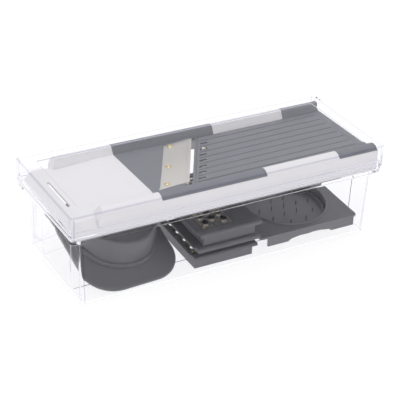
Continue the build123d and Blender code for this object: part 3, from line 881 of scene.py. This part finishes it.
def land_unit():
    """One land of the runway with its forked start round a tooth slot, and a groove beside it."""
    half = LANE_PITCH / 2 - GROOVE_HALF

    def section(y0, y1):
        return [(y0, -PLATE_THICK), (y1, -PLATE_THICK), (y1, -CHAMFER), (y1 - CHAMFER, 0.0),
                (y0 + CHAMFER, 0.0), (y0, -CHAMFER)]

    bm = bmesh.new()
    for y0, y1 in ((-half, -SLOT_HALF), (SLOT_HALF, half)):
        sweep(bm, [(slot_start(y), y, z) for y, z in section(y0, y1)],
              [(EDGE_X + SLOT_END, y, z) for y, z in section(y0, y1)])
    sweep(bm, *([(x, y, z) for y, z in section(-half, half)]
                for x in (EDGE_X + SLOT_END, PAST_PLATE)))
    floor = groove_floor(half)
    sweep(bm, [(slot_start(y), y, z) for y, z in floor], [(PAST_PLATE, y, z) for y, z in floor])
    return bm


def groove_floor(y):
    """Section of the thin floor of the groove that starts at y."""
    far = y + 2 * GROOVE_HALF
    return [(y, -PLATE_THICK), (far, -PLATE_THICK), (far, -GROOVE_DEEP), (y, -GROOVE_DEEP)]


def plate_row(section, x_at):
    """Points of a (y, depth) section under the plate's top; x_at gives the x for a y."""
    return [(x_at(y), y, plate_top(x_at(y)) + z) for y, z in section]


def runway_rest(bm):
    """Front strip with its crease, outer lands, end bar, and the arms, pins and posts below."""
    strip = [(PLATE_GAP, -PLATE_THICK), (PLATE_GAP, -CHAMFER), (PLATE_GAP + CHAMFER, 0.0),
             (6.8, 0.0), (7.0, -0.7), (7.6, -0.7), (7.8, 0.0),  # the crease
             (SLOT_START, 0.0), (SLOT_START, -PLATE_THICK)]
    sweep(bm, *([(edge_x(y) + far, y, plate_top(edge_x(y) + far) + z) for far, z in strip]
                for y in (-PLATE_HALF, PLATE_HALF)))
    inner = LANES * LANE_PITCH / 2 + GROOVE_HALF
    land = [(PLATE_HALF, -PLATE_THICK), (PLATE_HALF, -CHAMFER), (PLATE_HALF - CHAMFER, 0.0),
            (inner + CHAMFER, 0.0), (inner, -CHAMFER), (inner, -PLATE_THICK)]
    for side in (-1, 1):
        section = [(side * y, z) for y, z in land]
        sweep(bm, plate_row(section, slot_start), plate_row(section, lambda y: PLATE_END))
        y0, y1 = sorted((side * 46.6, side * 49.0))
        brick(bm, edge_x(side * 49) + 14, 167.6, y0, y1, 87.2, 94.4)
        post(bm, (164.0, 90.4), 1.5, side * 52 - 4.5, side * 52 + 4.5, axis=1)
        post(bm, (edge_x(side * 42.6) + 15, side * 42.6), 1.6, 82.6, 94.0)
    floor = groove_floor(-inner)
    sweep(bm, plate_row(floor, slot_start), plate_row(floor, lambda y: LANDS_END))
    low = [(x, plate_top(x) - PLATE_THICK) for x in (LANDS_END, PLATE_END)]
    top = [(x, plate_top(x)) for x in (PLATE_END, LANDS_END)]
    sweep(bm, *([(x, y, z) for x, z in low + top] for y in (-inner, inner)))


def runway_plate(grey):
    """The ribbed plate: one land repeated across it, and the rest round the lands."""
    unit = from_bmesh("runway_lands", land_unit(), grey)
    grown(unit, "lanes", {"Count": LANES, "Pitch": LANE_PITCH * MM, "Slant": EDGE_SLOPE,
                          "Trim X": LANDS_END * MM, "Rise": PLATE_RISE,
                          "Rise From": edge_x(-PLATE_HALF) * MM, "Material": grey})
    unit.data.transform(Matrix.Translation((0, 0, PLATE_LOW * MM)))
    bm = bmesh.new()
    runway_rest(bm)
    return joined(from_bmesh("runway_plate_finished", bm, grey), unit)


def comb_pin(steel):
    """Polished round-headed pin that stands on the comb and shows above one tooth slot."""
    x = edge_x(PIN_LANE) + (SLOT_START + SLOT_END) / 2
    top = plate_top(x) + 0.3
    shank, head, head_low = 1.3, 3.2, top - 1.6
    rows = [(shank, COMB_TOP + 0.05), (shank, top - 0.2), (2.4, top - 0.2), (2.8, top + 0.1)]
    rows += arc(0, head_low, head, 34, 79)
    sides = [2 * math.pi * i / 28 for i in range(28)]
    bm = bmesh.new()
    sweep(bm, *([(x + r * math.cos(t), PIN_LANE + r * math.sin(t), z) for t in sides]
                for r, z in rows))
    return from_bmesh("comb_pin_finished", bm, steel, 50.0)


def cutter_comb(steel):
    """Slanted strip below the runway that carries the upright cutter teeth."""
    bm = bmesh.new()
    section = [(11, COMB_LOW), (19.2, COMB_LOW), (19.2, COMB_TOP), (11, COMB_TOP)]
    sweep(bm, *([(edge_x(y) + far, y, z) for far, z in section] for y in (-COMB_HALF, COMB_HALF)))
    strip = from_bmesh("cutter_comb_finished", bm, steel)
    bm = bmesh.new()
    foot = COMB_TOP - 0.2
    tooth = [(12, foot), (18.4, foot), (18.4, TOOTH_TOP), (14.5, TOOTH_TOP), (12, 91.5)]
    sweep(bm, *([(EDGE_X + far, y, z) for far, z in tooth] for y in (-0.4, 0.4)))
    lanes = {"Count": LANES, "Pitch": LANE_PITCH * MM, "Slant": EDGE_SLOPE, "Material": steel}
    teeth = grown(from_bmesh("cutter_teeth", bm, steel), "lanes", lanes)
    return joined(strip, teeth)


def rail_plugs(white):
    """Walls inside the skirt that close the hollow under the deck where each rail starts."""
    bm = bmesh.new()
    for side in (-1, 1):
        inner, outer = side * 55.5, side * 63.5
        brick(bm, RAIL_START + 0.05, RAIL_START + 5.0, min(inner, outer), max(inner, outer),
              86.0, 93.4)
    return from_bmesh("rail_plugs", bm, white)


class MANDOLINE_OT_slicer_frame(BuildStep, bpy.types.Operator):
    """Build the white slicer frame with its landing deck and rails."""

    bl_idname = "mandoline.slicer_frame"
    bl_label = "Slicer frame"

    def build(self, cfg):
        white = moulding("white_moulding", cfg.white, 0.42, 0.03)
        body = rounded_copy("slicer_frame", white, cfg.edge_round * FRAME_SHARPER)
        body = even_shading(joined(body, rail_plugs(white)))
        settle(body, "slicer", "white_frame", "slicer_frame")


class MANDOLINE_OT_blade_insert(BuildStep, bpy.types.Operator):
    """Build the grey blade insert, its diagonal blade and the rivets."""

    bl_idname = "mandoline.blade_insert"
    bl_label = "Blade insert"

    def build(self, cfg):
        grey = moulding("grey_moulding", cfg.grey, 0.5)
        settle(rounded_copy("blade_insert", grey, cfg.edge_round), "insert", "grey_insert",
               "blade_insert")
        steel = steel_sheet("blade_steel", cfg.steel, math.radians(60.6))
        settle(slicing_blade(steel), "insert", "blade_steel", "slicing_blade")
        level = blade_top(RIVET_INSET - BLADE_LONG)
        rivets = rivet_heads("blade_rivets", [(edge_x(y) - BLADE_LONG + RIVET_INSET, y, level)
                                              for y in RIVET_YS], 3.3, 0.6, 4.0)
        settle(rivets, "insert", "brass_rivet", "blade_rivet_1", "blade_rivet_2", "blade_rivet_3")


class MANDOLINE_OT_runway(BuildStep, bpy.types.Operator):
    """Build the ribbed grey runway, its end piece and the cutter comb below it."""

    bl_idname = "mandoline.runway"
    bl_label = "Runway"

    def build(self, cfg):
        grey = moulding("grey_moulding", cfg.grey, 0.5)
        steel = steel_sheet("comb_steel", cfg.steel, 0.0)
        settle(runway_plate(grey), "runway", "grey_insert", "runway_plate")
        for node, body in (("runway_end", "slicer"), ("julienne_carrier", "julienne")):
            settle(rounded_copy(node, grey, cfg.edge_round * 0.5), body, "grey_insert", node)
        settle(cutter_comb(steel), "julienne", "blade_steel", "julienne_comb")
        polished = steel_sheet("polished_steel", cfg.steel, 0.0, 0.12, 0.02)
        settle(comb_pin(polished), "julienne", "blade_steel", "julienne_pin")


# ------------ what is in the box


GUARD_TILT, GUARD_TURN, GUARD_AT = math.radians(18), math.radians(3), (-105.5, -1.8)
# half length, half width and corner radius of the guard's brim, then its round wall and top
BRIM, BRIM_FLAT, GUARD_WALL, GUARD_HIGH = (55, 63, 35), (54.5, 62.5, 34.5), 42.7, 40.0
GUARD_THICK, TOP_SINK, TOP_FILLET, CURVE_STEPS = 2.0, 0.8, 3.0, 8


def laid(x, y, z):
    """Where a point of the upright guard lies in the box, in mm."""
    turned = Matrix.Rotation(GUARD_TURN, 4, "Z") @ Matrix.Rotation(GUARD_TILT, 4, "X")
    low = 3.45 + BRIM[1] * math.sin(GUARD_TILT)
    return turned @ Vector((x, y, z)) + Vector((*GUARD_AT, low))


def guard_loop(a, b, radius, z, steps=16):
    return [laid(x, y, high) * MM for x, y, high in loop_points(a, b, radius, z, steps)]


def guard_round(radius, z):
    """A round row of the guard; its corner radius stays a little smaller than the row."""
    return (radius, radius, radius - 0.4, z)


def guard_wall(skin_thick, top):
    """Rows of the guard's wall from the brim's edge up to its top, drawn in by a skin."""
    rows = [(*(size + out for size in BRIM), z)
            for out, z in ((-0.6, 0.0), (0.0, 0.5), (0.0, 2.0), (-0.5, 2.6))]
    for i in range(1, CURVE_STEPS + 1):
        part = i / CURVE_STEPS
        a, b, r = (low + (GUARD_WALL - low) * part for low in BRIM_FLAT)
        rows.append((a, b, min(r, a - 0.4), 2.6 + 5.9 * part ** 1.5))
    rows += [guard_round(radius, z) for radius, z in ((42.6, 9.5), (41.2, 24.0), (39.9, top - 3.2))]
    rows += rounded((39.7 - TOP_FILLET, 39.7 - TOP_FILLET, 39.3 - TOP_FILLET, top - TOP_FILLET),
                    TOP_FILLET, 15, 90, 4)
    if not skin_thick:
        return rows
    return [(a - skin_thick, b - skin_thick, r - skin_thick, z)
            for a, b, r, z in rows if z > 2.1 or z == 0]


def food_guard(dark):
    """Open bowl with a wide oblong brim, a plain wall and a sunk round top."""
    sunk = GUARD_HIGH - TOP_SINK
    outside = guard_wall(0, GUARD_HIGH)
    outside += [guard_round(36.0, GUARD_HIGH), guard_round(35.4, sunk), guard_round(8.0, sunk)]
    inside = guard_wall(GUARD_THICK, 37.4) + [guard_round(8.0, 37.4)]
    bm = bmesh.new()
    skin(bm, [guard_loop(*row) for row in list(reversed(inside)) + outside])
    return from_bmesh("food_guard_finished", bm, dark, 50.0)


BEAD_LEVELS, BEAD_RADIUS, BEAD_OUT, BEAD_BACK = (9.7, 12.3), 1.2, 44.0, 42.0


def guard_beads(dark):
    """Two close beads round the foot of the guard's wall."""
    profile = []
    for z in BEAD_LEVELS:
        profile += arc(BEAD_OUT, z, BEAD_RADIUS, -90, 90, 6)
    low, high = BEAD_LEVELS
    profile += [(BEAD_BACK, high + BEAD_RADIUS), (BEAD_BACK, low - BEAD_RADIUS)]
    bm = bmesh.new()
    rows = [guard_loop(*guard_round(r, z)) for r, z in profile]
    skin(bm, rows + rows[:1], False, False)
    return from_bmesh("guard_beads_finished", bm, dark, 60.0)


class MANDOLINE_OT_food_guard(BuildStep, bpy.types.Operator):
    """Build the dark food guard that leans in the box."""

    bl_idname = "mandoline.food_guard"
    bl_label = "Food guard"

    def build(self, cfg):
        dark = moulding("guard_moulding", cfg.dark, 0.42)
        settle(food_guard(dark), "guard", "dark_guard", "food_guard")
        settle(guard_beads(dark), "guard", "dark_guard", "guard_ring")


WELL_X, PRONG_FOOT = 108, 5.4
PRONG_RINGS = ((0.0, 1), (16.0, 6), (32.0, 10))  # radius and number of prongs


def prong_places():
    """Feet of the prongs on the pusher, ring by ring."""
    for radius, count in PRONG_RINGS:
        for i in range(count):
            turn = 2 * math.pi * i / count
            yield WELL_X + radius * math.cos(turn), radius * math.sin(turn), PRONG_FOOT


class MANDOLINE_OT_carriage(BuildStep, bpy.types.Operator):
    """Build the food carriage, its pusher and the steel prongs."""

    bl_idname = "mandoline.carriage"
    bl_label = "Carriage"

    def build(self, cfg):
        dark = moulding("carriage_moulding", cfg.carriage, 0.24)
        steel = steel_sheet("prong_steel", cfg.steel, 0.0, 0.2)
        for node, body in (("carriage", "carriage"), ("pusher_disk", "pusher")):
            settle(rounded_copy(node, dark, cfg.edge_round), body, "grey_cassette", node)
        prongs = grown(bare_points("pusher_prongs_finished", prong_places()), "prongs",
                       {"Radius": 0.7 * MM, "Height": 8.8 * MM, "Tip": 2.0 * MM, "Material": steel})
        settle(prongs, "pusher", "blade_steel", "pusher_prongs")


SHEET_LONG, SHEET_THICK = 92.0, 0.8
# the node of each cassette's steel piece, then X and Z of its rivets
STEEL_PIECES = (("cassette_1_strip", -32.6, 14.4), ("cassette_2_blade", -12.0, 22.6),
                ("cassette_3_grater", -20.6, 40.2))
CASSETTE_RIVET_YS = (-43, 43)


def holed_sheets(steel):
    """Settings of the two sheets with holes: a strip with one row of them, and a grater."""
    def sheet(width, x, z, pattern, **more):
        values = {"Sheet Size": (width * MM, SHEET_LONG * MM, SHEET_THICK * MM),
                  "Sheet Center": (x * MM, 0, z * MM),
                  "Pattern Center": tuple(c * MM for c in pattern), "Material": steel}
        values.update((label.replace("_", " "), value) for label, value in more.items())
        return values

    strip = sheet(13, -28.5, 14.0, (-29, 3.1, 14.2), Columns=1, Rows=6, Pitch_Y=15.5 * MM,
                  Stagger=0.0, Hole_Radius=3.0 * MM, Collar_Radius=3.6 * MM, Collar_Height=0.7 * MM)
    return {"cassette_1_strip": strip,
            "cassette_3_grater": sheet(36, -4, 39.8, (-4, 0, 40.8))}


class MANDOLINE_OT_cassettes(BuildStep, bpy.types.Operator):
    """Build the stack of spare cassettes with their steel strips and sheets."""

    bl_idname = "mandoline.cassettes"
    bl_label = "Cassettes"

    def build(self, cfg):
        dark = moulding("cassette_moulding", cfg.cassette, 0.4)
        steel = steel_sheet("cassette_steel", cfg.steel, math.radians(90), 0.25)
        holed = holed_sheets(steel)
        for number, (node, x, z) in enumerate(STEEL_PIECES, 1):
            body = f"cassette_{number}"
            settle(rounded_copy(f"{body}_frame", dark, cfg.edge_round), body, "grey_cassette",
                   f"{body}_frame")
            if node in holed:
                sheet = grown(bare_points(f"{node}_finished", []), "holed_sheet", holed[node])
            else:
                sheet = rounded_copy(node, steel, cfg.metal_round)
            settle(sheet, body, "blade_steel", node)
            heads = rivet_heads(f"{body}_rivet_heads", [(x, y, z) for y in CASSETTE_RIVET_YS],
                                1.6, 0.7, 0.6)
            settle(heads, body, "brass_rivet", f"{body}_rivets")


# ------------ stage


# disk size and place of each light in m; both aim at a point just above the floor
LIGHTS = {"key": (1.2, (0.1, 0.3, 1.5)), "fill": (0.8, (-1.1, -1.2, 0.7))}
LIGHT_TARGET = (0, 0, 0.05)
CAMERA_TURN, CAMERA_RISE, CAMERA_ROLL = -29.46, 29.69, 2.29  # degrees
CAMERA_TARGET, CAMERA_AWAY = (-14.93, 1.93, 51.65), 1453.5  # mm
LENS, SENSOR, SHIFT = 121.96, 36.0, (0.0287, -0.004)
FLOOR_HALF, FLOOR_CORNER, FLOOR_THICK = 4.0, 1.5, 0.02  # m


def area_light(name, power):
    size, place = LIGHTS[name]
    data = bpy.data.lights.new(f"{name}_light", "AREA")
    data.shape = "DISK"
    data.size = size
    data.energy = power
    made = add_object(f"{name}_light", data)
    made.location = place
    aim = Vector(LIGHT_TARGET) - Vector(place)
    made.rotation_euler = aim.to_track_quat("-Z", "Y").to_euler()


def studio_camera():
    """Camera in front, to the left and above, with a slight roll."""
    azimuth, elevation, roll = map(math.radians, (CAMERA_TURN, CAMERA_RISE, CAMERA_ROLL))
    level = math.cos(elevation)
    back = Vector((math.sin(azimuth) * level, -math.cos(azimuth) * level, math.sin(elevation)))
    right = Vector((math.cos(azimuth), math.sin(azimuth), 0))
    up = back.cross(right)
    across = right * math.cos(roll) + up * math.sin(roll)
    upright = up * math.cos(roll) - right * math.sin(roll)
    data = bpy.data.cameras.new("camera")
    data.lens, data.sensor_width = LENS, SENSOR
    data.shift_x, data.shift_y = SHIFT
    made = add_object("camera", data)
    turn = Matrix((across, upright, back)).transposed().to_4x4()
    place = Vector(CAMERA_TARGET) * MM + back * (CAMERA_AWAY * MM)
    made.matrix_world = Matrix.Translation(place) @ turn
    bpy.context.scene.camera = made


def pale_floor(cfg):
    """Material of the floor, which gives off some light of its own."""
    made, tree, shader = new_material("pale_floor")
    place_look(tree, shader, "moulded_skin",
               {"Color": (cfg.floor_tone,) * 3, "Roughness": 0.7, "Tone Change": 0.01,
                "Grain Scale": 900.0})
    shader.inputs["Specular IOR Level"].default_value = 0.1
    shader.inputs["Emission Color"].default_value = (1.0, 1.0, 1.0, 1.0)
    shader.inputs["Emission Strength"].default_value = cfg.floor_glow
    return made


class MANDOLINE_OT_stage(BuildStep, bpy.types.Operator):
    """Add the pale floor, the soft lights and the camera."""

    bl_idname = "mandoline.stage"
    bl_label = "Stage"
    settings = "mandoline_stage"

    def build(self, cfg):
        bm = bmesh.new()
        skin(bm, [loop_points(FLOOR_HALF, FLOOR_HALF, FLOOR_CORNER, z, 12)
                  for z in (-FLOOR_THICK, 0.0)])
        from_bmesh("floor", bm, pale_floor(cfg))
        world = bpy.data.worlds.new("studio")
        world.use_nodes = True
        background = world.node_tree.nodes["Background"].inputs
        background["Color"].default_value = (1, 1, 1, 1)
        background["Strength"].default_value = cfg.sky
        bpy.context.scene.world = world
        area_light("key", cfg.key)
        area_light("fill", cfg.fill)
        bpy.context.scene.view_settings.view_transform = "Standard"
        studio_camera()


# ------------ panel and registration


STEPS = (MANDOLINE_OT_storage_box, MANDOLINE_OT_storage_lid, MANDOLINE_OT_slicer_frame,
         MANDOLINE_OT_blade_insert, MANDOLINE_OT_runway, MANDOLINE_OT_food_guard,
         MANDOLINE_OT_carriage, MANDOLINE_OT_cassettes, MANDOLINE_OT_stage)
SETTINGS = {"mandoline_finish": MandolineFinish, "mandoline_shell": MandolineShell,
            "mandoline_stage": MandolineStage}


class MANDOLINE_PT_pieces(bpy.types.Panel):
    """Lists the steps that build the mandoline."""

    bl_idname = "MANDOLINE_PT_pieces"
    bl_label = "Boxed mandoline"
    bl_space_type = "VIEW_3D"
    bl_region_type = "UI"
    bl_category = "Mandoline"

    def draw(self, context):
        for step in STEPS:
            self.layout.operator(step.bl_idname)
        for label in SETTINGS:
            settings = getattr(context.scene, label)
            box = self.layout.box()
            for prop in settings.__annotations__:
                box.prop(settings, prop)


CLASSES = (*SETTINGS.values(), *STEPS, MANDOLINE_PT_pieces)


def register():
    for cls in CLASSES:
        bpy.utils.register_class(cls)
    for label, group in SETTINGS.items():
        setattr(bpy.types.Scene, label, PointerProperty(type=group))


def unregister():
    for label in SETTINGS:
        delattr(bpy.types.Scene, label)
    for cls in reversed(CLASSES):
        bpy.utils.unregister_class(cls)


def main():
    register()
    for step in STEPS:
        getattr(bpy.ops.mandoline, step.bl_idname.split(".")[1])()


if __name__ == "__main__":
    main()
